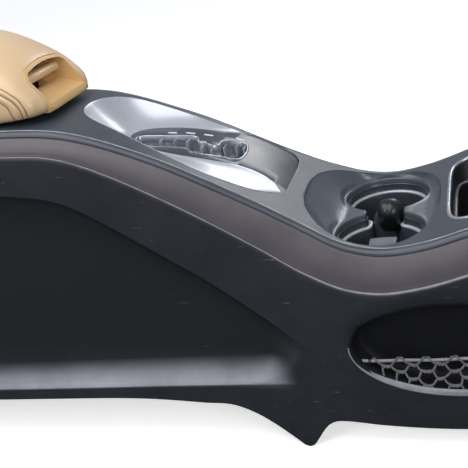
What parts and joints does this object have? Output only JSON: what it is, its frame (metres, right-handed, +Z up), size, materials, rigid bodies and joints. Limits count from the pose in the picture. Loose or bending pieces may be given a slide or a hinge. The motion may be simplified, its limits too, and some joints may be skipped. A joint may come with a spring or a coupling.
{
  "type": "car center console",
  "caption": "Long car centre console with a hinged padded armrest, gated shifter surround, twin cup wells, front bin and a side net pocket.",
  "frame": {"origin": "middle of the bounding box's lower face, on the floor that the console stands on", "axes": "+X towards the front of the vehicle, +Y across it, away from the net pocket, +Z up"},
  "size_m": [0.9, 0.2369, 0.4258],
  "materials": {
    "deck_plastic": "fine-grained satin moulding",
    "side_plastic": "grained moulding, lightly scuffed",
    "soft_trim": "soft-touch skin over a firm backing",
    "black_plastic": "unpainted black moulding",
    "silver_paint": "silver painted moulding",
    "dark_satin": "dark satin paint",
    "bright_rim": "bright painted rim",
    "white_print": "white lens",
    "black_rubber": "matt rubber",
    "grey_rubber": "matt rubber",
    "leather": "tan leather over foam, stitched",
    "tan_plastic": "tan moulding",
    "board": "moulded foam carrier",
    "zinc_steel": "zinc-plated steel",
    "dark_steel": "grey painted steel",
    "net_cord": "grey knotted nylon cord"
  },
  "bodies": {
    "console": {"top_panel": "deck_plastic", "side_panel_right": "side_plastic", "side_panel_left": "side_plastic", "trim_strip_right": "soft_trim", "trim_strip_left": "soft_trim", "carrier_frame": "black_plastic", "rear_panel": "black_plastic", "front_panel": "black_plastic", "front_bin": "black_plastic", "storage_bin": "black_plastic", "pocket_tub": "black_plastic", "net_hooks": "black_plastic", "gate_guide": "black_plastic", "shifter_bezel": "silver_paint", "gate_plate": "dark_satin", "cup_insert": "dark_satin", "gate_liner": "bright_rim", "front_bin_bezel": "bright_rim", "position_marks": "white_print", "cup_divider": "black_rubber", "cup_mats": "black_rubber", "front_bin_mat": "black_rubber", "storage_bin_mat": "black_rubber", "bump_stops": "black_rubber", "cup_grip_tab": "grey_rubber", "latch_striker": "zinc_steel", "hinge_pin": "zinc_steel", "bracket_bolts": "zinc_steel", "rear_bracket": "zinc_steel", "front_bracket": "zinc_steel", "hinge_bracket": "dark_steel", "pocket_net": "net_cord", "net_elastic": "net_cord"},
    "lid": {"lid_pan": "black_plastic", "armrest_base": "board", "armrest_pad": "leather", "latch_housing": "tan_plastic", "latch_pin": "zinc_steel", "latch_spring": "zinc_steel", "hinge_arm": "dark_steel", "lid_screws": "zinc_steel"},
    "latch": {"latch_handle": "tan_plastic", "latch_hook": "zinc_steel"}
  },
  "joints": [
    {"name": "lid_hinge", "type": "hinge", "parent": "console", "child": "lid", "pos_m": [-0.404, 0, 0.346], "axis": [0, -1, 0], "range_deg": [0, 75]},
    {"name": "latch_lift", "type": "hinge", "parent": "lid", "child": "latch", "pos_m": [-0.138, 0, 0.373], "axis": [0, -1, 0], "range_deg": [0, 8], "stiffness_Nm_per_rad": 0.3, "springref_deg": -11.46}
  ]
}
